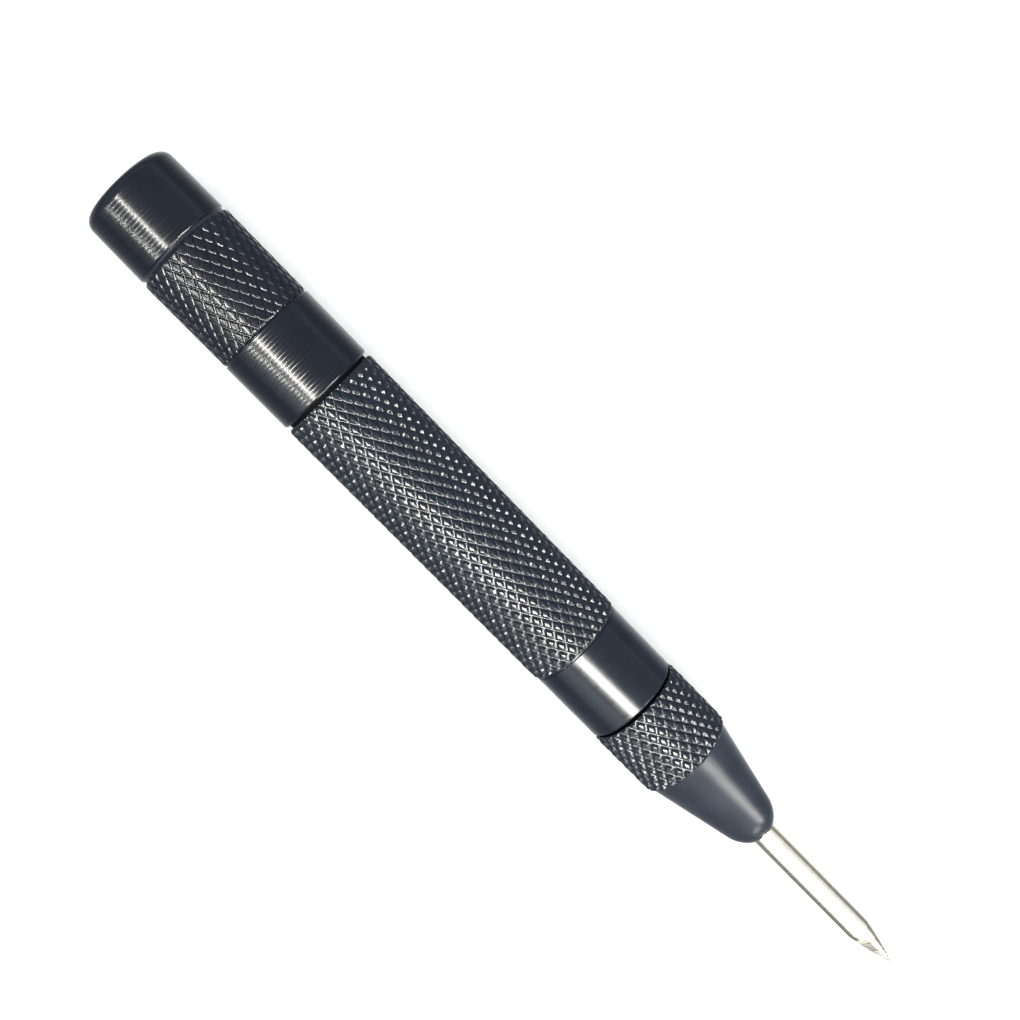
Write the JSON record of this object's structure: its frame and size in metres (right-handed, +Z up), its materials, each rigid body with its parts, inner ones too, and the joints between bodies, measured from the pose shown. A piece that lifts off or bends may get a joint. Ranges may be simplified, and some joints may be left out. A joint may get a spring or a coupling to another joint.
{
  "type": "automatic center punch",
  "caption": "Spring-loaded automatic center punch: knurled steel barrel and cap, coned nose and a sprung steel punch pin that is driven by a hammer inside.",
  "frame": {"origin": "the very point of the punch pin, on the tool's axis", "axes": "+X along the tool's axis from the point to the cap's end, +Z up, +Y to the left when looking along +X"},
  "size_m": [0.13, 0.0126, 0.0126],
  "materials": {
    "black_steel": "blue-black oxide on turned and knurled steel, satin",
    "bright_steel": "bright ground steel, rough grinding marks at the point",
    "tool_steel": "turned and hardened, oiled",
    "spring_steel": "drawn spring wire"
  },
  "bodies": {
    "handle": {"barrel": "black_steel", "nose_cone": "black_steel", "return_spring": "spring_steel"},
    "point": {"punch_pin": "bright_steel"},
    "driver": {"drive_pin": "tool_steel"},
    "striker": {"hammer": "tool_steel"},
    "seat": {"spring_seat": "tool_steel", "main_spring": "spring_steel"},
    "cap": {"end_cap": "black_steel"}
  },
  "joints": [
    {"name": "punch_press", "type": "slide", "parent": "handle", "child": "point", "axis": [1, 0, 0], "range_m": [0, 0.009], "stiffness_N_per_m": 300, "springref_m": -0.01, "deforming": ["return_spring"]},
    {"name": "pin_centring", "type": "hinge", "parent": "point", "child": "driver", "pos_m": [0.04215, 0, 0], "axis": [0, 1, 0], "range_deg": [-2.05, 0.05]},
    {"name": "hammer_slide", "type": "slide", "parent": "handle", "child": "striker", "axis": [1, 0, 0], "range_m": [-0.0001, 0.0091], "stiffness_N_per_m": 6000, "springref_m": -0.0067, "deforming": ["main_spring"]},
    {"name": "cap_feed", "type": "slide", "parent": "handle", "child": "seat", "axis": [1, 0, 0], "range_m": [-0.00026, 0.00401]},
    {"name": "cap_turn", "type": "hinge", "parent": "seat", "child": "cap", "pos_m": [0.11, 0, 0], "axis": [1, 0, 0], "range_deg": [-90, 1440]}
  ],
  "couplings": [
    {"joint": "pin_centring", "follows": "punch_press", "rad_per_m": -3.8785},
    {"joint": "hammer_slide", "follows": "punch_press", "ratio": 1},
    {"joint": "cap_feed", "follows": "cap_turn", "m_per_rad": 0.00015915}
  ]
}
